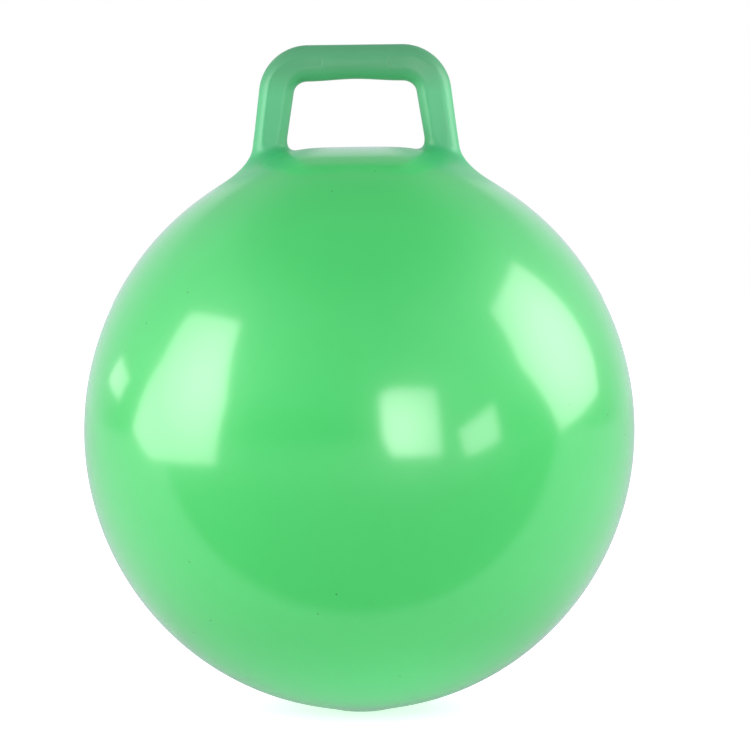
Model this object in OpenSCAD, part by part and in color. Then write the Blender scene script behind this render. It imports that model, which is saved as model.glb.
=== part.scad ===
// Hopper ball: a soft inflated ball with a moulded loop handle on top and a plug valve in its foot.
// Millimetres, +Z up, the loop lies in the XZ plane, the origin is on the floor under the ball.

/* [Ball] */
// Width of the inflated ball across its widest part
ball_d = 450; // [400:1:560]
// How much taller the ball is than it is wide
ball_rise = 8; // [4:1:14]
// Wall of the stretched skin
skin_wall = 1; // [0.8:0.1:3]

/* [Foot] */
// Width of the flat face that the ball stands on
foot_d = 48; // [40:1:60]
// Drop of the flat face below the ball's round underside
foot_drop = 1.5; // [1:0.1:4]
// Width of the thick foot pad where it runs out into the skin
pad_d = 96; // [86:1:120]
// Thickness of the foot pad, from the flat face up
pad_wall = 6; // [5:0.5:9]

/* [Handle base] */
// Length of the oval patch that carries the handle
base_l = 250; // [220:1:280]
// Width of the oval patch, front to back
base_w = 120; // [100:1:160]
// Thickness of the patch in its middle
base_t = 2.5; // [1.5:0.1:5]
// Thickness of the patch at its rim
rim_t = 0.6; // [0.4:0.1:1.2]
// Bond line between the patch and the skin
bond_gap = 0.45; // [0.3:0.05:0.6]
// Distance between the leg axes where they meet the ball
root_spread = 146; // [130:1:160]
// Height of each flared collar, along its leg from the ball's surface
collar_h = 14; // [12:1:20]
// Reach of the small fillet on the side of a collar that faces the other one
inner_fillet = 9; // [6:0.5:14]
// Distance from the toe of the wide flare, on a collar's outer side, to the patch's rim
toe_margin = 4; // [2:0.5:8]

/* [Handle loop] */
// Height of the grip's top over the ball's top
handle_h = 88; // [80:1:110]
// Thickness of the grip bar
grip_d = 28.4; // [24:0.1:34]
// Thickness of each leg at its collar
root_d = 26.4; // [22:0.1:32]
// Inward lean of each leg
leg_lean = 8; // [3:0.5:14]
// Bend radius of the loop's centre line at its two corners
corner_r = 24.6; // [20:0.1:32]
// Wall of the hollow loop
loop_wall = 4; // [2.5:0.1:6]
// Seam between the loop and its collars
seam_gap = 0.2; // [0.1:0.05:0.3]
// Width of the finger flutes
flute_w = 10; // [7:0.5:13]
// Depth of the finger flutes
flute_depth = 1.4; // [0.6:0.1:2]
// Length over which a flute runs out at each end
flute_fade = 6; // [4:0.5:10]
// Length of the plain stretch of the grip between the flutes
plain_grip = 52; // [30:1:60]

/* [Valve] */
// Width of the air port in the skin under each leg
port_d = 12; // [8:0.5:16]
// Bore of the valve seat
valve_d = 9; // [7:0.1:12]
// Wall of the seat's stem
stem_wall = 3; // [2:0.1:4]
// Height of the seat's stem above the foot pad
stem_h = 24; // [18:1:34]
// Width of the plug's head
head_d = 16; // [14:0.1:18]
// Thickness of the plug's head
head_t = 2.6; // [2:0.1:3.2]
// Depth of the plug's head inside the flat face
head_inset = 1.2; // [0.8:0.1:1.6]
// Gap round the plug's head
head_gap = 0.3; // [0.2:0.05:0.6]
// Rim of the seat round the plug's head
rim_wall = 1.8; // [1.2:0.1:3]
// Overhang of the seat's flange past its neck
flange_reach = 8; // [5:0.5:12]
// Thickness of the seat's flange
flange_t = 2; // [1.5:0.1:3]
// Gap between the seat's neck and the foot pad
seat_gap = 0.05; // [0.02:0.01:0.1]
// Gap between the plug's ribs and the bore
plug_gap = 0.05; // [0.02:0.01:0.1]
// Number of sealing ribs on the plug
rib_count = 3; // [2:1:4]
// Height of each sealing rib over the plug's shank
rib_h = 0.5; // [0.3:0.1:0.8]
// Length of the cone that leads each sealing rib in
rib_lead = 2; // [1:0.1:3]
// Width of the notch for lifting the plug's head
notch_w = 5; // [4:0.5:6]

/* [Hidden] */
$fn = 96;

green_skin = [0.33, 0.82, 0.42];
green_grip = [0.32, 0.66, 0.44];
ivory = [0.93, 0.92, 0.86];
chalk = [0.85, 0.88, 0.80];

// Overlap that lets a cut run clear of the face it opens
cut = 1;

ball_r = ball_d / 2;
ball_half = ball_r + ball_rise / 2;
ball_z = ball_half + foot_drop;
ball_top = ball_z + ball_half;
// Centre of the upper of the two round bowls that the ball is made of
bowl_z = ball_z + ball_rise / 2;

// Sphere that rounds the foot pad off from the flat face to the skin
pad_edge_z = ball_z - ball_rise / 2 - sqrt(pow(ball_r, 2) - pow(pad_d / 2, 2));
pad_centre = (pow(pad_d / 2, 2) + pow(pad_edge_z, 2) - pow(foot_d / 2, 2)) / (2 * pad_edge_z);
pad_r = norm([foot_d / 2, pad_centre]);

// Underside of the handle base, and the half axes of its oval rim
bond_r = ball_r + bond_gap;
rim_x = base_l / 2;
rim_y = base_w / 2;

// Leg axis, from the ball's surface up to the corner
root_x = root_spread / 2;
root_z = bowl_z + sqrt(pow(ball_r, 2) - pow(root_x, 2));
grip_r = grip_d / 2;
root_r = root_d / 2;
bore_r = root_r - loop_wall;
bar_z = ball_top + handle_h - grip_r;
corner_z = bar_z - corner_r;
corner_x = root_x - (corner_z - root_z) * tan(leg_lean) - corner_r / cos(leg_lean);
leg_len = (corner_z + corner_r * sin(leg_lean) - root_z) / cos(leg_lean);
leg_from = collar_h + seam_gap;
leg_up = [-sin(leg_lean), 0, cos(leg_lean)];
leg_out = [cos(leg_lean), 0, sin(leg_lean)];
root = [root_x, 0, root_z];

// Valve: the plug's head sits in a mouth at the seat's lower end
valve_r = valve_d / 2;
mouth_r = head_d / 2 + head_gap;
mouth_z = head_inset + head_t;
neck_r = mouth_r + rim_wall;
stem_top = pad_wall + stem_h;
rib_r = valve_r - plug_gap;
shank_r = rib_r - rib_h;
rib_pitch = (stem_top - mouth_z) / (rib_count + 1);
notch_side = notch_w / sqrt(2);

// Steps round a section of the loop, along a leg, round a corner and along the bar
loop_sides = 28;
leg_steps = 9;
corner_steps = 9;
bar_steps = 10;
// Every so many of the loop's rings, its hollow has one
hollow_skip = 2;

// Steps along a quarter of the patch's rim, along half of its cross line, down a flare and over the patch
rim_steps = 16;
cross_steps = 6;
collar_sides = 2 * (rim_steps + cross_steps);
flare_steps = 7;
patch_steps = 6;

function lerp(a, b, t) = a + (b - a) * t;
function smooth(t) = let (c = max(0, min(1, t))) c * c * (3 - 2 * c);
function flat(lists) = [for (list = lists) each list];
function other_side(p) = [0 - p[0], p[1], p[2]];

// Two triangles for each step between two closed rings of n points that start at points a and b
function band(a, b, n, steps) = [
    for (i = steps)
        each [
            [a + i, b + i, b + (i + 1) % n],
            [a + i, b + (i + 1) % n, a + (i + 1) % n]
        ]
];

// Height of a sphere's upper half over the point [x, y]
function cap_z(centre_z, r, x, y) = centre_z + sqrt(pow(r, 2) - pow(x, 2) - pow(y, 2));
// Where a line from a point outside a sphere first meets it
function onto_sphere(p, d, centre_z, r) =
    let (v = p - [0, 0, centre_z], along = v * d)
    p - (along + sqrt(pow(along, 2) - v * v + pow(r, 2))) * d;

// Stations along half of the loop, from a collar to the middle of the bar.
// Each is [x, z, angle of the outward side, radius, share of the flute's depth].
function leg_station(s) = let (p = root + s * leg_up) [
    p[0],
    p[2],
    leg_lean,
    lerp(root_r, grip_r, (s - collar_h) / (leg_len - collar_h)),
    smooth((s - leg_from) / flute_fade)
];
function corner_station(a) = [
    corner_x + corner_r * cos(a),
    corner_z + corner_r * sin(a),
    a,
    grip_r,
    1
];
function bar_station(x) = [x, bar_z, 90, grip_r, smooth((x - plain_grip / 2) / flute_fade)];
half_loop = concat(
    [for (i = [0 : leg_steps - 1]) leg_station(lerp(leg_from, leg_len, i / leg_steps))],
    [for (i = [0 : corner_steps - 1]) corner_station(lerp(leg_lean, 90, i / corner_steps))],
    [for (i = [0 : bar_steps]) bar_station(lerp(corner_x, 0, i / bar_steps))]
);
function mirrored(station) = [0 - station[0], station[1], 180 - station[2], station[3], station[4]];
loop_stations = concat(
    half_loop,
    [for (i = [len(half_loop) - 2 : -1 : 0]) mirrored(half_loop[i])]
);

// Depth of the flutes on the front and back of a section, at an angle round it
function flute_dip(angle, r) =
    let (half = asin(flute_w / 2 / r), off = abs(abs(angle) - 90))
    off < half ? flute_depth * pow(cos(90 * off / half), 2) : 0;
// One ring of points round the loop, at a station; the inside has no flutes
function loop_ring(station, inset) = [
    for (i = [0 : loop_sides - 1])
        let (
            round_at = 360 * i / loop_sides - 180,
            dip = inset > 0 ? inset : station[4] * flute_dip(round_at, station[3]),
            r = station[3] - dip,
            a = station[2]
        )
        [
            station[0] + r * cos(round_at) * cos(a),
            r * sin(round_at),
            station[1] + r * cos(round_at) * sin(a)
        ]
];

// Points round the right half of the patch, seen from above: its oval rim first, then its cross line
// in the YZ plane, and the mirror of both
half_edge = concat(
    [for (i = [0 : rim_steps]) let (a = 90 * i / rim_steps) [rim_x * cos(a), rim_y * sin(a)]],
    [for (i = [1 : cross_steps]) [0, lerp(rim_y, 0, i / cross_steps)]]
);
patch_edge = concat(
    half_edge,
    [for (i = [len(half_edge) - 2 : -1 : 1]) [half_edge[i][0], 0 - half_edge[i][1]]]
);
rim_edges = [for (i = [0 : rim_steps - 1]) each [i, collar_sides - 1 - i]];

// Point on a leg at an angle round it, a distance from its axis and a height along it
function on_leg_at(angle, r, s) = root + r * (cos(angle) * leg_out + sin(angle) * [0, 1, 0]) + s * leg_up;
// How far the flare reaches out from the leg: nearly to the rim outside, a small fillet inside
outer_flare = rim_x - root_x - root_r - toe_margin;
flare_fall = 1.5;
function flare_reach(angle) = lerp(inner_fillet, outer_flare, pow((1 + cos(angle)) / 2, flare_fall));
// The patch thins from its middle to its rim
function patch_t(x, y) = lerp(base_t, rim_t, pow(x / rim_x, 2) + pow(y / rim_y, 2));
function on_bond(x, y) = [x, y, cap_z(bowl_z, bond_r, x, y)];
function on_patch(x, y) = [x, y, cap_z(bowl_z, bond_r + patch_t(x, y), x, y)];
root_patch_r = bond_r + patch_t(root_x, 0);

// Points from a leg down to one edge point of the base: over the flare and the patch, then back under
// the patch to the bore
function base_line(edge) =
    let (
        angle = atan2(edge[1], edge[0] - root_x),
        top = on_leg_at(angle, root_r, collar_h),
        foot = onto_sphere(top, -leg_up, bowl_z, root_patch_r),
        away = foot + flare_reach(angle) * [cos(angle), sin(angle), 0],
        toe = on_patch(away[0], away[1]),
        bore_top = on_leg_at(angle, bore_r, collar_h),
        bore_foot = onto_sphere(bore_top, -leg_up, bowl_z, bond_r)
    )
    concat(
        [for (i = [0 : flare_steps])
            let (t = i / flare_steps)
            lerp(lerp(top, foot, t), lerp(foot, toe, t), t)],
        [for (i = [1 : patch_steps])
            let (t = i / patch_steps)
            on_patch(lerp(toe[0], edge[0], t), lerp(toe[1], edge[1], t))],
        [for (i = [0 : patch_steps])
            let (t = i / patch_steps)
            on_bond(lerp(edge[0], bore_foot[0], t), lerp(edge[1], bore_foot[1], t))],
        [bore_top]
    );

// Right half of the ball's outline: two round bowls that meet at the middle
module half_oval(r) {
    intersection() {
        union() {
            for (side = [-1, 1])
                translate([0, ball_z + side * ball_rise / 2])
                    circle(r);
        }
        translate([0, ball_z - 2 * r])
            square([2 * r, 4 * r]);
    }
}

// Right half of the thick foot pad, round at its edge and flat on both faces
module half_pad() {
    intersection() {
        translate([0, pad_centre])
            circle(pad_r);
        square([pad_d, pad_wall]);
    }
}

// Thin stretched wall, thick at the foot, with a hole for the valve and two ports into the handle
module ball_skin() {
    color(green_skin)
        difference() {
            rotate_extrude()
                difference() {
                    union() {
                        difference() {
                            half_oval(ball_r);
                            half_oval(ball_r - skin_wall);
                        }
                        half_pad();
                    }
                    translate([0, -cut])
                        square([neck_r + seat_gap, pad_wall + 2 * cut]);
                }
            for (side = [-1, 1])
                translate([side * root_x, 0, root_z])
                    rotate([0, -side * leg_lean, 0])
                        cylinder(d = port_d, h = 2 * port_d, center = true);
        }
}

// Thickened patch on the ball's top, with a flared and hollow collar under each leg
module handle_base() {
    lines = [for (edge = patch_edge) base_line(edge)];
    rings = len(lines[0]);
    rim_ring = flare_steps + patch_steps;
    right = flat([for (k = [0 : rings - 1]) [for (line = lines) line[k]]]);
    left = [for (p = right) other_side(p)];
    all_round = [for (i = [0 : collar_sides - 1]) i];
    right_faces = flat([
        for (k = [0 : rings - 1])
            band(
                k * collar_sides,
                (k + 1) % rings * collar_sides,
                collar_sides,
                k == rim_ring ? rim_edges : all_round
            )
    ]);
    left_faces = [for (f = right_faces) [f[2], f[1], f[0]] + len(right) * [1, 1, 1]];
    color(green_skin)
        polyhedron(points = concat(right, left), faces = concat(right_faces, left_faces));
}

// Hollow loop that the rider holds, with finger flutes front and back
module handle_loop() {
    last = len(loop_stations) - 1;
    rings = concat(
        [for (station = loop_stations) loop_ring(station, 0)],
        [for (i = [last : -hollow_skip : 0]) loop_ring(loop_stations[i], loop_wall)]
    );
    all_round = [for (i = [0 : loop_sides - 1]) i];
    faces = flat([
        for (k = [0 : len(rings) - 1])
            band(k * loop_sides, (k + 1) % len(rings) * loop_sides, loop_sides, all_round)
    ]);
    color(green_grip)
        polyhedron(points = flat(rings), faces = faces);
}

// Soft insert in the foot pad: a neck in the pad, a flange behind it and a stem into the ball
module valve_seat() {
    color(chalk)
        rotate_extrude()
            difference() {
                union() {
                    translate([0, head_inset])
                        square([neck_r, pad_wall + flange_t - head_inset]);
                    translate([0, pad_wall])
                        square([neck_r + flange_reach, flange_t]);
                    translate([0, head_inset])
                        square([valve_r + stem_wall, stem_top - head_inset]);
                }
                translate([0, -cut])
                    square([mouth_r, mouth_z + cut]);
                translate([0, -cut])
                    square([valve_r, stem_top + 2 * cut]);
            }
}

// Stopper with sealing ribs, a round nose and a notch for a fingernail
module valve_plug() {
    color(ivory)
        difference() {
            rotate_extrude() {
                translate([0, head_inset])
                    square([head_d / 2, head_t]);
                translate([0, mouth_z])
                    square([shank_r, stem_top - mouth_z]);
                for (i = [1 : rib_count])
                    translate([0, mouth_z + i * rib_pitch])
                        rib_outline();
                translate([0, stem_top])
                    intersection() {
                        circle(shank_r);
                        square(shank_r);
                    }
            }
            translate([head_d / 2, 0, head_inset])
                rotate([0, 0, 45])
                    cube([notch_side, notch_side, head_t], center = true);
        }
}

// Half of a sealing rib: a cone that leads in from the nose, square at its back
module rib_outline() {
    back = rib_h + rib_lead;
    polygon([[0, 0], [rib_r, 0], [rib_r, rib_h], [shank_r, back], [0, back]]);
}

ball_skin();
handle_base();
handle_loop();
valve_seat();
valve_plug();
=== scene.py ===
"""Hopper ball: a soft inflated vinyl ball, a loop handle on its top and a plug valve in its foot.

The pieces are surfaces worked out with numpy in millimetres and written to their meshes in metres.
+Z is up, the handle lies in the XZ plane and the camera looks along +Y.
"""
import math

import bpy
import numpy as np
from mathutils import Matrix, Vector


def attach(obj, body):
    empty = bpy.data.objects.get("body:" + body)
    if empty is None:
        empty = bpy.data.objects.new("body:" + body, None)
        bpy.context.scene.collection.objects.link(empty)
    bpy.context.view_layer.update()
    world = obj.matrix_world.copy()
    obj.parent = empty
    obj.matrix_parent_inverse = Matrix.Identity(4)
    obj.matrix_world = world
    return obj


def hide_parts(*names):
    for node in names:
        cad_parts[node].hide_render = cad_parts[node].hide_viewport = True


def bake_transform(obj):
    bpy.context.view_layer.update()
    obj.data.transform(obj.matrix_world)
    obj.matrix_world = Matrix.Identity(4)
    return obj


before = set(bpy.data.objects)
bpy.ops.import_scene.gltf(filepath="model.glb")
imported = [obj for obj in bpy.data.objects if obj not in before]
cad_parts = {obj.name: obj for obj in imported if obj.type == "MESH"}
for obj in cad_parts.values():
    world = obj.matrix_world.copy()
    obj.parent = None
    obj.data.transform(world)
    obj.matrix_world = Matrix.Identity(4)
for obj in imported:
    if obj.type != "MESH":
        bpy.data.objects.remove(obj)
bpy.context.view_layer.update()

MM = 0.001

# Ball: half width, lower and upper half height, and the height of its middle over the floor
BALL_R = 225.0
LOWER_HALF = 229.0
UPPER_HALF = 231.4
BALL_Z = 229.6
SKIN_WALL = 1.0

# Foot: flat face, the run-out of its thick pad into the skin, and the hole for the valve
FOOT_R = 19.0
PAD_R = 48.0
PAD_WALL = 6.0
VALVE_HOLE_R = 10.15

# Saddles that carry the legs: their lift over the ball, how it grows and levels off, and its reach
SADDLE_LIFT = 4.4
SADDLE_GROWS = 45.0
SADDLE_LEVELS = 75.0
SADDLE_REACH = 130.0

# Handle loop: legs that lean in from their roots, two bends and a straight grip
ROOT_X = 72.4
ROOT_R = 13.6
GRIP_R = 14.2
LEG_LEAN = math.radians(8.0)
CORNER_R = 26.0
GRIP_TOP = 544.2

# Palm side of the grip: extra fullness near the bends, and the waist in the middle
PALM_FULLNESS = 1.3
GRIP_WAIST = 0.4

# Flared roots: where the loop takes over, where the leg's straight side starts, the toe's reach on the
# inner and outer side and its share more in front, and the height over which the root's look fades out
COLLAR_TOP = 25.0
INNER_COLLAR = 23.0
OUTER_COLLAR = 10.5
COLLAR_TUCK = 0.2
INNER_FILLET = 12.0
OUTER_FLARE = 23.5
FRONT_FLARE = 0.65
ROOT_FADE = 12.0

# Thick satin skin round a root: how far it reaches, where the thin glossy skin starts, its gloss, its
# share of the painted shade of the crease round the root, and how much longer it is to the front and back
THICK_TO = 34.0
THIN_FROM = 58.0
THICK_GLOSS = 0.2
ROOT_SHADE_SHARE = 0.7
THICK_STRETCH = 1.45

# Rings that bury the flare's toe: way out past the toe, and depth under the ball's face. Height up to which
# the root has the toe's look, and depth of the hidden cap that closes the handle under each root
TOE_END, TOE_END_DEPTH = 4.0, 0.9
TOE_LIP, TOE_LIP_DEPTH = 1.5, 0.05
TOE_LEVEL = 0.2
ROOT_CAP_DEPTH = 8.0

# Finger flats on the front and back of the loop: depths, softness of the edge, start and fade above the
# root, round end and its step, plain grip between them, and the tilt past which a section stays round
LEG_FLAT_DEPTH = 1.7
GRIP_FLAT_DEPTH = 0.75
FLAT_EDGE = 0.5
FLAT_START = 6.0
FLAT_FADE = 16.0
FLAT_END_R = 6.0
FLAT_STEP = 0.6
PLAIN_GRIP = 52.0
MAX_TILT = 1.2

# Valve: head of the plug, mouth, neck, flange, bore and stem of the seat, ribs and shank of the plug, and
# the fingernail notch in the head
HEAD_INSET = 1.2
HEAD_R = 8.0
HEAD_T = 2.6
MOUTH_R = 8.3
NECK_R = 10.1
FLANGE_R = 18.1
FLANGE_T = 2.0
BORE_R = 4.5
STEM_R = 7.5
STEM_TOP = 30.0
RIB_R = 4.45
SHANK_R = 3.95
RIB_PITCH = 6.55
NOTCH_DEPTH = 1.5
NOTCH_LIFT = 0.9
NOTCH_TURN = 0.28
NOTCH_FROM = 4.5
NOTCH_FADE = 2.5

# Colours, linear
BALL_GREEN = (0.048, 0.558, 0.114)
# Paler green towards the foot: painted light, for the light that comes through the skin and off the floor
FOOT_PAINTED_LIGHT_GREEN = (0.068, 0.680, 0.180)
# Darker green at the handle's roots, on the ball and on the handle: painted shade of the crease where they
# meet
ROOT_SHADE_GREEN = (0.045, 0.440, 0.145)
LEG_GREEN = (0.088, 0.475, 0.195)
GRIP_GREEN = (0.072, 0.335, 0.138)
SEAT_CHALK = (0.62, 0.66, 0.57)
PLUG_IVORY = (0.80, 0.78, 0.68)
# Darker green in the finger flats: painted shade in their recess
FLAT_SHADE_GREEN = (0.02, 0.16, 0.07)
SPECK_GREEN = (0.015, 0.10, 0.035)
COOL_WHITE = (0.97, 1.0, 1.12)

# Points round each turned or swept piece
BALL_COLUMNS = 288
LOOP_COLUMNS = 144
VALVE_COLUMNS = 96

# Floor: its disc, the soft front edge of the white sheet on it in metres, and its glow: seen by the camera,
# mirrored on the sheet near the foot, where it is dimmer as a painted shadow of the ball, and far from it,
# mirrored in front of the sheet, and under the ball
FLOOR_R = 9000.0
FLOOR_DROP = 0.4
FLOOR_CORNERS = 96
SHEET_EDGE = (-0.225, -0.195)
SEEN_GLOW = 0.64
SHEET_GLOW = (0.34, 0.54)
BARE_GLOW = 0.24
UNDER_GLOW = 0.62

# Room: light of the wall behind the ball, of the room in front and at the sides, shares of it near the
# floor and overhead, and the soft light on matt faces from the horizon and from above
WALL_LIGHT = 0.75
ROOM_LIGHT = (0.30, 0.56)
LOW_SHARE = 0.32
OVERHEAD_SHARE = 0.40
SOFT_LIGHT = (0.32, 1.10)


def smooth(t):
    """0 below 0, 1 above 1, and 3t^2 - 2t^3 between."""
    t = np.clip(t, 0.0, 1.0)
    return t * t * (3.0 - 2.0 * t)


def lerp(a, b, t):
    return a + (b - a) * t


def band_faces(first, rows, columns):
    """Four-sided faces between neighbouring rings of a grid whose rings are closed."""
    k, j = np.meshgrid(np.arange(rows - 1), np.arange(columns), indexing="ij")
    here, there = first + k * columns, first + (k + 1) * columns
    after = (j + 1) % columns
    return np.stack([here + j, here + after, there + after, there + j], -1).reshape(-1, 4)


def fan_faces(ring, pole, columns, pole_first):
    """Triangles between a closed ring and one point, with the pole before or after the ring."""
    j = np.arange(columns)
    after = (j + 1) % columns
    tip = np.full(columns, pole)
    order = [tip, ring + after, ring + j] if pole_first else [ring + j, ring + after, tip]
    return np.stack(order, -1)


def make_piece(name, points, faces, material, shares=None):
    """Object at the origin from points in millimetres, with a named value per point for its material."""
    mesh = bpy.data.meshes.new(name)
    mesh.from_pydata((np.asarray(points) * MM).tolist(), [], faces)
    mesh.polygons.foreach_set("use_smooth", np.ones(len(faces), bool))
    for label, values in (shares or {}).items():
        layer = mesh.attributes.new(label, "FLOAT", "POINT")
        layer.data.foreach_set("value", np.asarray(values, np.float32).ravel())
    mesh.update()
    piece = bpy.data.objects.new(name, mesh)
    piece.data.materials.append(material)
    bpy.context.scene.collection.objects.link(piece)
    return piece


def saddle_lift(x, y):
    """How far the thick saddles under the legs stand over the ball: a lift that grows with x squared and
    levels off under the legs, times a bell that is 1 in the middle and fades to nothing at SADDLE_REACH."""
    bell = np.maximum(1.0 - (x * x + y * y) / SADDLE_REACH**2, 0.0) ** 2
    return SADDLE_LIFT * (x / SADDLE_GROWS) ** 2 / (1.0 + (x / SADDLE_LEVELS) ** 4) * bell


def ball_top(x, y):
    """Height of the ball's upper half over the point x, y: an ellipse turned about Z, plus the saddles."""
    inside = np.maximum(1.0 - (x * x + y * y) / BALL_R**2, 0.0)
    return BALL_Z + UPPER_HALF * np.sqrt(inside) + saddle_lift(x, y)


def ball_points():
    """Rings of the ball's closed wall, from the valve hole over the outside to the top, and back inside.

    Outside: a flat foot, a pad that runs out into the lower half ellipse by a cubic drop, then the lower
    and the taller upper half ellipse turned about Z, with the saddles added. Inside: the same ellipses less
    the wall, and the pad's flat upper face."""
    turn = np.linspace(0.0, 2.0 * np.pi, BALL_COLUMNS, endpoint=False)

    def ring_rows(r, z):
        r, z = np.asarray(r)[:, None], np.asarray(z)[:, None]
        return np.stack([r * np.cos(turn), r * np.sin(turn), z + 0.0 * turn], -1)

    def half_ellipses(angle, wall):
        half = np.where(angle < np.pi / 2.0, LOWER_HALF, UPPER_HALF) - wall
        return (BALL_R - wall) * np.sin(angle), BALL_Z - half * np.cos(angle)

    def lower_ellipse(r):
        return BALL_Z - LOWER_HALF * np.sqrt(1.0 - (r / BALL_R) ** 2)

    foot_rows = ring_rows([VALVE_HOLE_R, VALVE_HOLE_R + 0.4, 14.0, FOOT_R - 1.0], [0.4, 0.0, 0.0, 0.0])
    pad_r = np.linspace(FOOT_R, PAD_R, 32)
    still_pad = ((PAD_R - pad_r) / (PAD_R - FOOT_R)) ** 3
    pad_z = lower_ellipse(pad_r) - lower_ellipse(FOOT_R) * still_pad
    climb = np.linspace(np.arcsin(PAD_R / BALL_R), np.pi, 200)[1:-1]
    outside = np.concatenate([foot_rows, ring_rows(pad_r, pad_z), ring_rows(*half_ellipses(climb, 0.0))])
    lift = saddle_lift(outside[..., 0], outside[..., 1])
    outside[..., 2] += np.where(outside[..., 2] > BALL_Z, lift, 0.0)

    pad_edge = np.arccos((BALL_Z - PAD_WALL) / (LOWER_HALF - SKIN_WALL))
    fall = np.linspace(np.pi, pad_edge, 42)[1:]
    inside = np.concatenate(
        [ring_rows(*half_ellipses(fall, SKIN_WALL)), ring_rows([VALVE_HOLE_R], [PAD_WALL])]
    )
    return outside, inside


def build_ball(material):
    outside, inside = ball_points()
    columns = outside.shape[1]
    top = [[0.0, 0.0, float(ball_top(0.0, 0.0))]]
    under_top = [[0.0, 0.0, BALL_Z + UPPER_HALF - SKIN_WALL]]
    points = np.concatenate([outside.reshape(-1, 3), top, under_top, inside.reshape(-1, 3)])
    outer_count = outside.shape[0] * columns
    inner_first = outer_count + 2
    last_ring = inner_first + (inside.shape[0] - 1) * columns
    hole = np.arange(columns)
    hole_after = (hole + 1) % columns
    faces = [
        *band_faces(0, outside.shape[0], columns).tolist(),
        *fan_faces(outer_count - columns, outer_count, columns, False).tolist(),
        *fan_faces(inner_first, outer_count + 1, columns, True).tolist(),
        *band_faces(inner_first, inside.shape[0], columns).tolist(),
        *np.stack([last_ring + hole, last_ring + hole_after, hole_after, hole], -1).tolist(),
    ]
    return make_piece("ball", points, faces, material)


def leg_flat_depth(s):
    """Depth of a leg's flat at the way s up the leg: it fades in above the root."""
    return LEG_FLAT_DEPTH * smooth((s - FLAT_START) / FLAT_FADE)


def half_loop_stations():
    """Stations from the collar's top to the middle of the grip: x, z, angle of the outward side, radius,
    extra fullness of the palm side, way into the flat from its end on the grip, and the flat's depth.

    The leg is a straight line that leans in, the bend is an arc of CORNER_R, and the grip is straight."""
    root_z = float(ball_top(ROOT_X, 0.0) - saddle_lift(ROOT_X, 0.0))
    grip_z = GRIP_TOP - GRIP_R
    corner_z = grip_z - CORNER_R
    corner_x = ROOT_X - (corner_z - root_z) * math.tan(LEG_LEAN) - CORNER_R / math.cos(LEG_LEAN)
    leg_len = (corner_z + CORNER_R * math.sin(LEG_LEAN) - root_z) / math.cos(LEG_LEAN)

    s = np.linspace(COLLAR_TOP, leg_len, 30)[:-1]
    leg = [
        ROOT_X - s * math.sin(LEG_LEAN),
        root_z + s * math.cos(LEG_LEAN),
        LEG_LEAN,
        lerp(ROOT_R, GRIP_R, (s - COLLAR_TOP) / (leg_len - COLLAR_TOP)),
        0.0,
        CORNER_R,
        leg_flat_depth(s),
    ]
    a = np.linspace(LEG_LEAN, np.pi / 2.0, 30)[:-1]
    turned = smooth((a - LEG_LEAN) / (np.pi / 2.0 - LEG_LEAN))
    bend = [
        corner_x + CORNER_R * np.cos(a),
        corner_z + CORNER_R * np.sin(a),
        a,
        GRIP_R,
        PALM_FULLNESS * turned,
        CORNER_R,
        lerp(LEG_FLAT_DEPTH, GRIP_FLAT_DEPTH, turned),
    ]
    x = np.linspace(corner_x, 0.0, 90)
    off_middle = smooth(x / corner_x)
    grip = [
        x,
        grip_z,
        np.pi / 2.0,
        GRIP_R,
        lerp(-GRIP_WAIST, PALM_FULLNESS, off_middle),
        x - PLAIN_GRIP / 2.0,
        GRIP_FLAT_DEPTH,
    ]
    runs = [np.stack(np.broadcast_arrays(*run), -1) for run in (leg, bend, grip)]
    return np.concatenate(runs), root_z


def press_flats(angle, radius, way_in, depth):
    """Change of radius and share of the flat for a section with a flat on its front and back.

    The flat is a chord of the circle, sunk by its depth and joined to the circle by a smooth minimum. Its
    end on the grip is round, so the step there is a crescent."""
    tilt = np.minimum(np.abs(np.abs(angle) - np.pi / 2.0), MAX_TILT)
    to_end = way_in - (radius * tilt) ** 2 / (2.0 * FLAT_END_R)
    sunk = depth * smooth(to_end / FLAT_STEP)
    chord = (radius - sunk) / np.cos(tilt)
    round_share = np.clip(0.5 + 0.5 * (chord - radius) / FLAT_EDGE, 0.0, 1.0)
    joined = lerp(chord, radius, round_share) - FLAT_EDGE * round_share * (1.0 - round_share)
    there = smooth(sunk / FLAT_EDGE)
    return (joined - radius) * there, (1.0 - round_share) * there


def loop_rings(stations, angle):
    """Rings of the loop: at each station a circle across the path, fuller on the palm side near the bends,
    with the flats pressed into it."""
    x, z, a, radius, fullness, *flat = (column[:, None] for column in stations.T)
    palm = ((1.0 - np.cos(angle)) / 2.0) ** 2
    press, bed = press_flats(angle, radius, *flat)
    r = radius + fullness * palm + press
    out = r * np.cos(angle)
    rings = np.stack([x + out * np.cos(a), r * np.sin(angle), z + out * np.sin(a)], -1)
    return rings, bed


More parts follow.
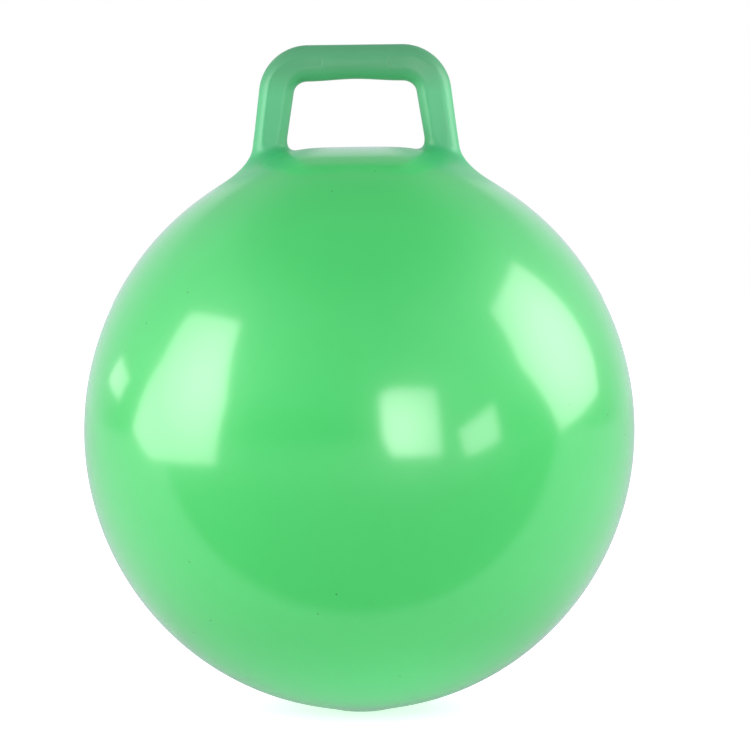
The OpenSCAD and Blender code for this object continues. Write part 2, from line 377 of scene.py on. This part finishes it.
def flare_rings(angle, root_z, steps):
    """Rings of a root's flare, from its toe on the ball up to just under the collar's top.

    In each direction round the leg it is a quadratic curve: it leaves the ball along the ball's own slope
    at the toe and runs into the leg's straight side higher up. The toe reaches far out on the outer side,
    front and back, and only a small fillet's way on the inner side, where the straight side starts highest.
    Past the toe the skin sinks under the ball's face in two steps, so no edge shows."""
    outer = (1.0 + np.cos(angle)) / 2.0
    side = np.stack(
        [np.cos(angle) * math.cos(LEG_LEAN), np.sin(angle), np.cos(angle) * math.sin(LEG_LEAN)], -1
    )
    up = np.array([-math.sin(LEG_LEAN), 0.0, math.cos(LEG_LEAN)])
    base = np.array([ROOT_X, 0.0, root_z]) + ROOT_R * side
    frontal = np.sin(angle) ** 2
    collar = lerp(INNER_COLLAR, OUTER_COLLAR, outer) * (1.0 - COLLAR_TUCK * frontal)
    top = base + collar[:, None] * up
    reach = lerp(INNER_FILLET, OUTER_FLARE, outer) * (1.0 + FRONT_FLARE * frontal**2)
    way = np.stack([np.cos(angle), np.sin(angle)], -1)

    def on_ball(xy):
        return ball_top(xy[:, 0], xy[:, 1])

    toe = base[:, :2] + reach[:, None] * way
    slope = on_ball(toe + 0.5 * way) - on_ball(toe - 0.5 * way)
    foot_z = on_ball(toe) - slope * reach
    foot = top - up * ((top[:, 2] - foot_z) / up[2])[:, None]
    toe_point = np.column_stack([toe, on_ball(toe)])

    t = np.linspace(0.0, 1.0, steps)[:-1, None, None]
    curve = (1.0 - t) ** 2 * toe_point + 2.0 * t * (1.0 - t) * foot + t**2 * top
    rest = np.linspace(0.0, 1.0, 5)[:-1, None, None]
    straight = lerp(top, base + COLLAR_TOP * up, rest)

    def buried(out, depth):
        sunk = toe + out * way
        return np.column_stack([sunk, on_ball(sunk) - depth])[None]

    tuck = [buried(TOE_END, TOE_END_DEPTH), buried(TOE_LIP, TOE_LIP_DEPTH)]
    skin = np.concatenate([*tuck, curve, straight])
    height = (skin - np.array([ROOT_X, 0.0, root_z])) @ up
    press, bed = press_flats(angle, ROOT_R, CORNER_R, leg_flat_depth(height))
    return skin + press[..., None] * side, bed


def build_handle(material):
    """One skin over both flared roots and the loop: the right half, and its mirror image in reverse order."""
    columns = LOOP_COLUMNS
    angle = np.linspace(-np.pi, np.pi, columns, endpoint=False)
    stations, root_z = half_loop_stations()
    flare, flare_bed = flare_rings(angle, root_z, 30)
    loop, loop_bed = loop_rings(stations, angle)
    right = np.concatenate([flare, loop])
    flat = np.concatenate([flare_bed, loop_bed])
    height = right[..., 2] - ball_top(right[..., 0], right[..., 1])
    root = 1.0 - smooth((height - TOE_LEVEL) / ROOT_FADE)

    mirror = np.array([-1.0, 1.0, 1.0])
    rings = np.concatenate([right, right[-2::-1] * mirror])
    flat = np.concatenate([flat, flat[-2::-1]])
    root = np.concatenate([root, root[-2::-1]])
    count = rings.shape[0] * columns
    cap_z = root_z - ROOT_CAP_DEPTH
    poles = np.array([[ROOT_X, 0.0, cap_z], [-ROOT_X, 0.0, cap_z]])
    faces = [
        *fan_faces(0, count, columns, True).tolist(),
        *band_faces(0, rings.shape[0], columns).tolist(),
        *fan_faces(count - columns, count + 1, columns, False).tolist(),
    ]
    return make_piece(
        "handle",
        np.concatenate([rings.reshape(-1, 3), poles]),
        faces,
        material,
        {
            "flat_share": np.append(flat.ravel(), [0.0, 0.0]),
            "root_share": np.append(root.ravel(), [1.0, 1.0]),
        },
    )


def rounded_outline(corners, radii, steps=6):
    """Closed outline through the corners, each cut by a quadratic curve that starts its radius away."""
    corners = np.asarray(corners, float)
    radii = np.asarray(radii, float)[:, None]
    back = np.roll(corners, 1, 0) - corners
    on = np.roll(corners, -1, 0) - corners
    before = corners + radii * back / np.linalg.norm(back, axis=1)[:, None]
    after = corners + radii * on / np.linalg.norm(on, axis=1)[:, None]
    t = np.linspace(0.0, 1.0, steps)[None, :, None]
    curve = (
        (1.0 - t) ** 2 * before[:, None] + 2.0 * t * (1.0 - t) * corners[:, None] + t**2 * after[:, None]
    )
    return curve.reshape(-1, 2)


def build_valve_seat(material):
    """Outline of the seat turned about Z: mouth, neck, flange and stem, all with soft edges."""
    corners = [
        (MOUTH_R, HEAD_INSET),
        (NECK_R, HEAD_INSET),
        (NECK_R, PAD_WALL),
        (FLANGE_R, PAD_WALL),
        (FLANGE_R, PAD_WALL + FLANGE_T),
        (STEM_R, PAD_WALL + FLANGE_T),
        (STEM_R, STEM_TOP),
        (BORE_R, STEM_TOP),
        (BORE_R, HEAD_INSET + HEAD_T),
        (MOUTH_R, HEAD_INSET + HEAD_T),
    ]
    outline = rounded_outline(corners, [0.5, 0.5, 0.1, 0.5, 0.6, 0.8, 0.8, 0.8, 0.3, 0.3])
    columns = VALVE_COLUMNS
    turn = np.linspace(0.0, 2.0 * np.pi, columns, endpoint=False)
    r, z = outline[:, :1], outline[:, 1:]
    rings = np.stack([r * np.cos(turn), r * np.sin(turn), z + 0.0 * turn], -1)
    faces = band_faces(0, len(outline) + 1, columns) % (len(outline) * columns)
    return make_piece("valve_seat_soft", rings.reshape(-1, 3), faces.tolist(), material)


def build_valve_plug(material):
    """Outline of the plug turned about Z, from the head's face to the nose, with a fingernail scallop
    pressed into one side of the head as a smooth dent."""
    face, back = HEAD_INSET, HEAD_INSET + HEAD_T
    ribs = [
        (r, back + RIB_PITCH * i + dz)
        for i in (1, 2, 3)
        for r, dz in ((SHANK_R, -0.05), (RIB_R, 0.0), (RIB_R, 0.5), (SHANK_R, 2.5))
    ]
    nose = np.linspace(0.0, np.pi / 2.0, 10)[:-1]
    r = np.concatenate(
        [
            [1.2, 2.2, 4.5, HEAD_R - 0.9, HEAD_R - 0.35, HEAD_R - 0.1, HEAD_R],
            [HEAD_R, HEAD_R - 0.1, HEAD_R - 0.35, HEAD_R - 0.8, SHANK_R + 0.3, SHANK_R],
            [rib[0] for rib in ribs],
            SHANK_R * np.cos(nose),
        ]
    )
    z = np.concatenate(
        [
            face + np.array([0.45, 0.12, 0.0, 0.0, 0.1, 0.35, 0.8]),
            back - np.array([0.7, 0.35, 0.1, 0.0, 0.0, -0.3]),
            [rib[1] for rib in ribs],
            STEM_TOP + SHANK_R * np.sin(nose),
        ]
    )
    columns = VALVE_COLUMNS
    turn = np.linspace(-np.pi, np.pi, columns, endpoint=False)
    on_head = z[:, None] < back + 0.1
    dent = np.exp(-((turn / NOTCH_TURN) ** 2)) * smooth((r[:, None] - NOTCH_FROM) / NOTCH_FADE) * on_head
    low = 1.0 - smooth((z[:, None] - face) / HEAD_T)
    ring_r = r[:, None] - NOTCH_DEPTH * dent * low
    ring_z = z[:, None] + NOTCH_LIFT * dent * low
    rings = np.stack([ring_r * np.cos(turn), ring_r * np.sin(turn), ring_z], -1)
    count = len(r) * columns
    points = np.concatenate([rings.reshape(-1, 3), [[0, 0, face + 0.5], [0, 0, STEM_TOP + SHANK_R]]])
    faces = [
        *fan_faces(0, count, columns, True).tolist(),
        *band_faces(0, len(r), columns).tolist(),
        *fan_faces(count - columns, count + 1, columns, False).tolist(),
    ]
    return make_piece("valve_plug_soft", points, faces, material)


def add_node(tree, kind, values=None, **settings):
    """New node with its settings, and its inputs set to constants or linked to other nodes' outputs."""
    node = tree.nodes.new(kind)
    for key, value in settings.items():
        setattr(node, key, value)
    for key, value in (values or {}).items():
        if isinstance(value, bpy.types.NodeSocket):
            tree.links.new(value, node.inputs[key])
        else:
            node.inputs[key].default_value = value
    return node


def math_node(tree, operation, a, b=0.0):
    return add_node(tree, "ShaderNodeMath", {0: a, 1: b}, operation=operation).outputs[0]


def ramp_node(tree, value, low, high, to_low=0.0, to_high=1.0):
    """Smooth step of a value from one bound to the other."""
    bounds = {"Value": value, "From Min": low, "From Max": high, "To Min": to_low, "To Max": to_high}
    return add_node(tree, "ShaderNodeMapRange", bounds, interpolation_type="SMOOTHSTEP").outputs[0]


def mix_colour(tree, share, a, b, blend="MIX"):
    node = add_node(tree, "ShaderNodeMix", {0: share, 6: a, 7: b}, data_type="RGBA", blend_type=blend)
    return node.outputs[2]


def mix_value(tree, share, a, b):
    return add_node(tree, "ShaderNodeMix", {0: share, 2: a, 3: b}, data_type="FLOAT").outputs[0]


def new_material(name):
    material = bpy.data.materials.new(name)
    material.use_nodes = True
    tree = material.node_tree
    tree.nodes.clear()
    out = tree.nodes.new("ShaderNodeOutputMaterial")
    return material, tree, out.inputs["Surface"]


def add_sockets(group, inputs, outputs):
    """Named inputs and outputs of a node group, each with its kind. Gives back both ends to link to."""
    for direction, sockets in (("INPUT", inputs), ("OUTPUT", outputs)):
        for label, kind in sockets.items():
            group.interface.new_socket(name=label, in_out=direction, socket_type="NodeSocket" + kind)
    return group.nodes.new("NodeGroupInput").outputs, group.nodes.new("NodeGroupOutput").inputs


def moulded_vinyl_group():
    """Look of moulded vinyl: clouded colour, sparse dark specks, a fine parting line where the two halves
    of the mould met, and a fine grain."""
    group = bpy.data.node_groups.new("moulded_vinyl", "ShaderNodeTree")
    given, result = add_sockets(
        group,
        {
            "Position": "Vector",
            "Green": "Color",
            "Clouding": "Float",
            "Specks": "Float",
            "Grain Scale": "Float",
            "Grain Height": "Float",
            "Dull": "Float",
            "Dull Spread": "Float",
        },
        {"Colour": "Color", "Roughness": "Float", "Height": "Float"},
    )
    place = given["Position"]

    def noise(**inputs):
        return add_node(group, "ShaderNodeTexNoise", {"Vector": place, **inputs}).outputs[0]

    clouds = math_node(group, "MULTIPLY", noise(Scale=7.0, Detail=4.0, Roughness=0.55), 0.7)
    streaks = math_node(group, "MULTIPLY", noise(Scale=38.0, Detail=3.0), 0.3)
    swing = math_node(group, "SUBTRACT", math_node(group, "ADD", clouds, streaks), 0.5)
    tone = math_node(group, "ADD", math_node(group, "MULTIPLY", swing, given["Clouding"]), 1.0)
    scaled = {0: given["Green"], "Scale": tone}
    toned = add_node(group, "ShaderNodeVectorMath", scaled, operation="SCALE").outputs[0]

    cells = add_node(group, "ShaderNodeTexVoronoi", {"Vector": place, "Scale": 60.0})
    pick = add_node(group, "ShaderNodeSeparateColor", {"Color": cells.outputs["Color"]}).outputs[0]
    chosen = math_node(group, "GREATER_THAN", pick, 0.80)
    dot = math_node(group, "MULTIPLY", ramp_node(group, cells.outputs["Distance"], 0.062, 0.030), chosen)
    speck = math_node(group, "MULTIPLY", dot, given["Specks"])
    group.links.new(mix_colour(group, speck, toned, (*SPECK_GREEN, 1.0)), result["Colour"])

    across = add_node(group, "ShaderNodeSeparateXYZ", {0: place}).outputs[1]
    line = ramp_node(group, math_node(group, "ABSOLUTE", across), 0.0007, 0.0001)
    ridge = math_node(group, "MULTIPLY", line, 0.5)
    grain = math_node(group, "MULTIPLY", noise(Scale=given["Grain Scale"], Detail=2.0), given["Grain Height"])
    group.links.new(math_node(group, "ADD", grain, ridge), result["Height"])
    spread = math_node(group, "MULTIPLY", swing, given["Dull Spread"])
    group.links.new(math_node(group, "ADD", given["Dull"], spread), result["Roughness"])
    return group


def root_gloss_and_shade_group():
    """Green and gloss of the ball's skin by the distance from the nearer root of the handle: satin close to
    the root, where the skin is thick and hardly stretched, and glossy further out. Its green is deep close to
    the root, a painted shade of the crease round the root, and bright further out. The thick zone is an
    ellipse, longer to the front and back."""
    group = bpy.data.node_groups.new("root_gloss_and_shade", "ShaderNodeTree")
    given, result = add_sockets(group, {"Position": "Vector"}, {"Green": "Color", "Gloss": "Float"})

    def vector(operation, *inputs):
        return add_node(group, "ShaderNodeVectorMath", dict(enumerate(inputs)), operation=operation).outputs

    one_side = vector("ABSOLUTE", given["Position"])[0]
    squeezed = vector("MULTIPLY", one_side, (1.0, 1.0 / THICK_STRETCH, 1.0))[0]
    root = (ROOT_X * MM, 0.0, float(ball_top(ROOT_X, 0.0)) * MM)
    away = vector("DISTANCE", squeezed, root)["Value"]
    thick = ramp_node(group, away, THIN_FROM * MM, THICK_TO * MM)
    # Painted shade: the green darkens towards the root, for the crease round it
    tint = math_node(group, "MULTIPLY", thick, ROOT_SHADE_SHARE)
    group.links.new(mix_colour(group, tint, (*BALL_GREEN, 1.0), (*ROOT_SHADE_GREEN, 1.0)), result["Green"])
    group.links.new(mix_value(group, thick, 1.0, THICK_GLOSS), result["Gloss"])
    return group


def ball_material(vinyl, root_gloss_and_shade):
    """Glossy stretched vinyl: soft sheen below, a clear mirror gloss on top, and a green painted paler
    towards the thick foot, painted light for the light that comes through the skin and off the floor.
    """
    material, tree, surface = new_material("glossy_ball_vinyl")
    position = tree.nodes.new("ShaderNodeTexCoord").outputs["Object"]
    height = add_node(tree, "ShaderNodeSeparateXYZ", {0: position}).outputs[2]
    root = add_node(tree, "ShaderNodeGroup", {"Position": position}, node_tree=root_gloss_and_shade).outputs
    # Painted light: the ball's green turns paler towards the foot
    footward = ramp_node(tree, height, 0.085, 0.0)
    look = add_node(
        tree,
        "ShaderNodeGroup",
        {
            "Position": position,
            "Green": mix_colour(tree, footward, root["Green"], (*FOOT_PAINTED_LIGHT_GREEN, 1.0)),
            "Clouding": 0.10,
            "Specks": 0.75,
            "Grain Scale": 900.0,
            "Grain Height": 0.05,
            "Dull": 0.36,
            "Dull Spread": 0.10,
        },
        node_tree=vinyl,
    ).outputs
    bump = add_node(tree, "ShaderNodeBump", {"Height": look["Height"], "Strength": 0.25, "Distance": 0.0003})
    skin = add_node(
        tree,
        "ShaderNodeBsdfPrincipled",
        {
            "Base Color": look["Colour"],
            "Roughness": look["Roughness"],
            "Normal": bump.outputs["Normal"],
            "IOR": 1.5,
            "Specular IOR Level": 0.5,
            "Coat Weight": root["Gloss"],
            "Coat Roughness": 0.14,
            "Coat IOR": 1.72,
        },
    )
    tree.links.new(skin.outputs[0], surface)
    return material


def handle_material(vinyl, root_gloss_and_shade):
    """Satin vinyl of the grip, which turns into the ball's skin at the toes of the flared roots. Its green is
    deeper at the root, a painted shade of the crease where the root meets the ball."""
    material, tree, surface = new_material("satin_handle_vinyl")
    position = tree.nodes.new("ShaderNodeTexCoord").outputs["Object"]
    root = add_node(tree, "ShaderNodeAttribute", attribute_name="root_share").outputs["Fac"]
    flat = add_node(tree, "ShaderNodeAttribute", attribute_name="flat_share").outputs["Fac"]
    height = add_node(tree, "ShaderNodeSeparateXYZ", {0: position}).outputs[2]
    at_toe = add_node(tree, "ShaderNodeGroup", {"Position": position}, node_tree=root_gloss_and_shade).outputs
    toeward = ramp_node(tree, root, 0.85, 1.0)
    loop = mix_colour(tree, ramp_node(tree, height, 0.500, 0.530), (*LEG_GREEN, 1.0), (*GRIP_GREEN, 1.0))
    # Painted shade: the green darkens towards the root, for the crease where it meets the ball
    thick = mix_colour(tree, ramp_node(tree, root, 0.0, 0.5), loop, (*ROOT_SHADE_GREEN, 1.0))
    green = mix_colour(tree, toeward, thick, at_toe["Green"])
    # Painted shade: the finger flats are a little darker, for the shade in their recess
    flat_shade = math_node(tree, "MULTIPLY", flat, 0.04)
    look = add_node(
        tree,
        "ShaderNodeGroup",
        {
            "Position": position,
            "Green": mix_colour(tree, flat_shade, green, (*FLAT_SHADE_GREEN, 1.0)),
            "Clouding": 0.16,
            "Specks": 0.5,
            "Grain Scale": 1400.0,
            "Grain Height": 0.5,
            "Dull": mix_value(tree, root, 0.42, 0.36),
            "Dull Spread": 0.10,
        },
        node_tree=vinyl,
    ).outputs
    bump = add_node(tree, "ShaderNodeBump", {"Height": look["Height"], "Strength": 0.35, "Distance": 0.0003})
    skin = add_node(
        tree,
        "ShaderNodeBsdfPrincipled",
        {
            "Base Color": look["Colour"],
            "Roughness": look["Roughness"],
            "Normal": bump.outputs["Normal"],
            "IOR": 1.5,
            "Specular IOR Level": 0.65,
            "Coat Weight": mix_value(tree, toeward, 0.05, at_toe["Gloss"]),
            "Coat Roughness": 0.14,
            "Coat IOR": 1.72,
        },
    )
    tree.links.new(skin.outputs[0], surface)
    return material


def valve_material(name, colour, dull, grain_height):
    """Pale moulded plastic of the valve, a little dirty in patches, with a fine matt grain."""
    material, tree, surface = new_material(name)
    position = tree.nodes.new("ShaderNodeTexCoord").outputs["Object"]
    dirt = add_node(
        tree, "ShaderNodeTexNoise", {"Vector": position, "Scale": 160.0, "Detail": 4.0, "Roughness": 0.6}
    ).outputs[0]
    grain = add_node(
        tree, "ShaderNodeTexNoise", {"Vector": position, "Scale": 3000.0, "Detail": 2.0}
    ).outputs[0]
    shade = tuple(0.72 * c for c in colour)
    toned = mix_colour(tree, ramp_node(tree, dirt, 0.42, 0.75), (*colour, 1.0), (*shade, 1.0))
    bump = add_node(
        tree, "ShaderNodeBump", {"Height": grain, "Strength": grain_height, "Distance": 0.0002}
    )
    skin = add_node(
        tree,
        "ShaderNodeBsdfPrincipled",
        {
            "Base Color": toned,
            "Roughness": ramp_node(tree, dirt, 0.3, 0.8, dull, dull + 0.15),
            "Normal": bump.outputs["Normal"],
            "IOR": 1.5,
        },
    )
    tree.links.new(skin.outputs[0], surface)
    return material


def make_floor():
    """Wide pale floor just under the foot. Seen directly it is white and keeps the ball's shadow. Seen in a
    reflection its front part, past the edge of the white sheet, is darker, and the sheet near the foot is
    dimmer, a painted shadow of the ball. Under the ball it glows a little with the light that comes through
    the thin skin.
    From below it is clear."""
    material, tree, surface = new_material("pale_floor")
    position = tree.nodes.new("ShaderNodeTexCoord").outputs["Object"]
    path = tree.nodes.new("ShaderNodeLightPath").outputs
    behind = tree.nodes.new("ShaderNodeNewGeometry").outputs["Backfacing"]
    forward = add_node(tree, "ShaderNodeSeparateXYZ", {0: position}).outputs[1]
    bare = ramp_node(tree, forward, -1.2, -0.35, BARE_GLOW, 0.0)
    away = add_node(tree, "ShaderNodeVectorMath", {0: position}, operation="LENGTH").outputs["Value"]
    # Painted shadow: the sheet's mirrored glow is dimmer near the foot
    lit = ramp_node(tree, away, 0.03, 0.40, *SHEET_GLOW)
    sheet = mix_value(tree, ramp_node(tree, forward, *SHEET_EDGE), bare, lit)
    under = ramp_node(tree, away, 0.04, 0.26, UNDER_GLOW, 0.0)
    gloss = math_node(tree, "MAXIMUM", path["Is Glossy Ray"], path["Is Transmission Ray"])
    shade = mix_value(tree, path["Is Camera Ray"], mix_value(tree, gloss, 0.92, 0.12), 0.9)
    white = mix_value(tree, path["Is Camera Ray"], mix_value(tree, gloss, under, sheet), SEEN_GLOW)
    matt = add_node(tree, "ShaderNodeBsdfDiffuse", {"Color": shade})
    tint = mix_colour(tree, path["Is Camera Ray"], (*COOL_WHITE, 1.0), (1.0, 1.0, 1.0, 1.0))
    glow = add_node(tree, "ShaderNodeEmission", {"Color": tint, "Strength": white})
    upper = add_node(tree, "ShaderNodeAddShader", {0: matt.outputs[0], 1: glow.outputs[0]})
    clear = tree.nodes.new("ShaderNodeBsdfTransparent")
    both = add_node(tree, "ShaderNodeMixShader", {0: behind, 1: upper.outputs[0], 2: clear.outputs[0]})
    tree.links.new(both.outputs[0], surface)
    material.cycles.emission_sampling = "NONE"

    turn = np.linspace(0.0, 2.0 * np.pi, FLOOR_CORNERS, endpoint=False)
    rim = np.column_stack(
        [FLOOR_R * np.cos(turn), FLOOR_R * np.sin(turn), np.full(FLOOR_CORNERS, -FLOOR_DROP)]
    )
    floor = make_piece("floor", rim, [list(range(FLOOR_CORNERS))], material)


def make_lamp(name, distance, corners, hot, rim, hot_spot):
    """Soft lamp panel. Its corners and its hot spot are azimuth and elevation in degrees, seen from the
    ball's middle. It glows most at the hot spot and falls off towards the rim."""
    corners = np.asarray(corners, float)
    azimuth, elevation = np.radians(corners).T
    way = np.stack(
        [np.sin(azimuth) * np.cos(elevation), -np.cos(azimuth) * np.cos(elevation), np.sin(elevation)], -1
    )
    material, tree, surface = new_material(name)
    panel = make_piece(name, np.array([0.0, 0.0, BALL_Z]) + distance * way, [list(range(len(way)))], material)
    layer = panel.data.uv_layers.new(name="UVMap")
    layer.data.foreach_set("uv", (corners / 100.0).ravel())
    centre = (hot_spot[0] / 100.0, hot_spot[1] / 100.0, 0.0)
    place = tree.nodes.new("ShaderNodeUVMap").outputs["UV"]
    off = add_node(tree, "ShaderNodeVectorMath", {0: place, 1: centre}, operation="DISTANCE").outputs["Value"]
    strength = ramp_node(tree, off, 0.02, 0.32, hot, rim)
    shine = add_node(tree, "ShaderNodeEmission", {"Color": (1.0, 1.0, 1.0, 1.0), "Strength": strength})
    tree.links.new(shine.outputs[0], surface)
    panel.visible_camera = False
    panel.visible_shadow = False


def make_world():
    """Soft studio light, strongest from above. The camera sees white. The gloss sees a pale wall behind the
    ball, up to about 30 degrees over the floor, and a dimmer room elsewhere, darkest straight in front,
    overhead and near the floor."""
    world = bpy.data.worlds.new("studio")
    bpy.context.scene.world = world
    world.use_nodes = True
    tree = world.node_tree
    tree.nodes.clear()
    way = tree.nodes.new("ShaderNodeTexCoord").outputs["Generated"]
    path = tree.nodes.new("ShaderNodeLightPath").outputs
    split = add_node(tree, "ShaderNodeSeparateXYZ", {0: way}).outputs
    wall = math_node(
        tree, "MULTIPLY", ramp_node(tree, split[1], 0.45, 0.95), ramp_node(tree, split[2], 0.54, 0.46)
    )
    aside = ramp_node(tree, math_node(tree, "ABSOLUTE", split[0]), 0.1, 0.75, *ROOM_LIGHT)
    low = ramp_node(tree, split[2], 0.0, 0.35, LOW_SHARE, 1.0)
    overhead = ramp_node(tree, split[2], 0.70, 0.95, 1.0, OVERHEAD_SHARE)
    dimmed = math_node(tree, "MULTIPLY", aside, math_node(tree, "MULTIPLY", low, overhead))
    room = mix_value(tree, wall, dimmed, WALL_LIGHT)
    gloss = math_node(tree, "MAXIMUM", path["Is Glossy Ray"], path["Is Transmission Ray"])
    soft = ramp_node(tree, split[2], 0.0, 1.0, *SOFT_LIGHT)
    light = mix_value(tree, gloss, soft, room)
    strength = mix_value(tree, path["Is Camera Ray"], light, 1.0)
    tint = mix_colour(tree, path["Is Camera Ray"], (*COOL_WHITE, 1.0), (1.0, 1.0, 1.0, 1.0))
    sky = add_node(tree, "ShaderNodeBackground", {"Color": tint, "Strength": strength})
    out = tree.nodes.new("ShaderNodeOutputWorld")
    tree.links.new(sky.outputs[0], out.inputs["Surface"])


def make_camera():
    """Long lens in front of the ball, a little above its middle and turned slightly about its own axis.

    The ball's middle falls on the pixel given here, at the given number of pixels to a millimetre."""
    elevation, roll = math.radians(3.0), math.radians(0.7)
    distance = 4000.0
    pixel = (359.4, 429.8)
    per_mm = 1.2220
    frame_px, sensor = 750.0, 36.0

    back = Vector((0.0, -math.cos(elevation), math.sin(elevation)))
    level_up = Vector((0.0, math.sin(elevation), math.cos(elevation)))
    level_side = Vector((1.0, 0.0, 0.0))
    up = level_up * math.cos(roll) + level_side * math.sin(roll)
    side = level_side * math.cos(roll) - level_up * math.sin(roll)
    middle = Vector((0.0, 0.0, BALL_Z))
    aim = middle + side * ((frame_px / 2 - pixel[0]) / per_mm) + up * ((pixel[1] - frame_px / 2) / per_mm)

    data = bpy.data.cameras.new("camera")
    data.sensor_width = sensor
    data.lens = per_mm * distance * sensor / frame_px
    data.clip_end = 100.0
    camera = bpy.data.objects.new("camera", data)
    bpy.context.scene.collection.objects.link(camera)
    place = Matrix((side, up, back)).transposed().to_4x4()
    place.translation = (aim + back * distance) * MM
    camera.matrix_world = place
    bpy.context.scene.camera = camera


vinyl = moulded_vinyl_group()
root_gloss_and_shade = root_gloss_and_shade_group()

ball = build_ball(ball_material(vinyl, root_gloss_and_shade))
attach(ball, "ball")
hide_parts("ball_skin")

handle = build_handle(handle_material(vinyl, root_gloss_and_shade))
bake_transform(handle)
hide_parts("handle_base", "handle_loop")

seat = build_valve_seat(valve_material("valve_seat_rubber", SEAT_CHALK, 0.55, 0.3))
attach(seat, "ball")
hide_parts("valve_seat")

plug = build_valve_plug(valve_material("valve_plug_plastic", PLUG_IVORY, 0.38, 0.15))
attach(plug, "plug")
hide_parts("valve_plug")

make_floor()
make_lamp(
    "left_softbox",
    distance=1500.0,
    corners=[(-57, 38), (-53, 12), (-57, -9), (-91, -7), (-101, 0), (-90, 20), (-88, 34)],
    hot=5.0,
    rim=3.0,
    hot_spot=(-60, 18),
)
make_lamp(
    "right_softbox",
    distance=1500.0,
    corners=[(106, 44), (115, 22), (116, 13), (113, 6), (85, -1), (70, 20), (68, 39)],
    hot=4.2,
    rim=2.5,
    hot_spot=(86, 22),
)
make_lamp(
    "front_window",
    distance=2000.0,
    corners=[(8, 16), (13, 18), (31, 17), (32, -10), (16, -12), (9, 0)],
    hot=5.4,
    rim=2.5,
    hot_spot=(11, 1),
)
make_lamp(
    "side_window",
    distance=2000.0,
    corners=[(39, 2), (55, 10), (57, -2), (42, -8)],
    hot=3.3,
    rim=3.0,
    hot_spot=(48, 1),
)
make_lamp(
    "back_lamp",
    distance=1800.0,
    corners=[(-121, 13), (-109, 11), (-114, 5), (-127, 7)],
    hot=2.4,
    rim=2.2,
    hot_spot=(-118, 9),
)
make_world()
make_camera()
bpy.context.scene.view_settings.view_transform = "Standard"

bpy.context.view_layer.update()
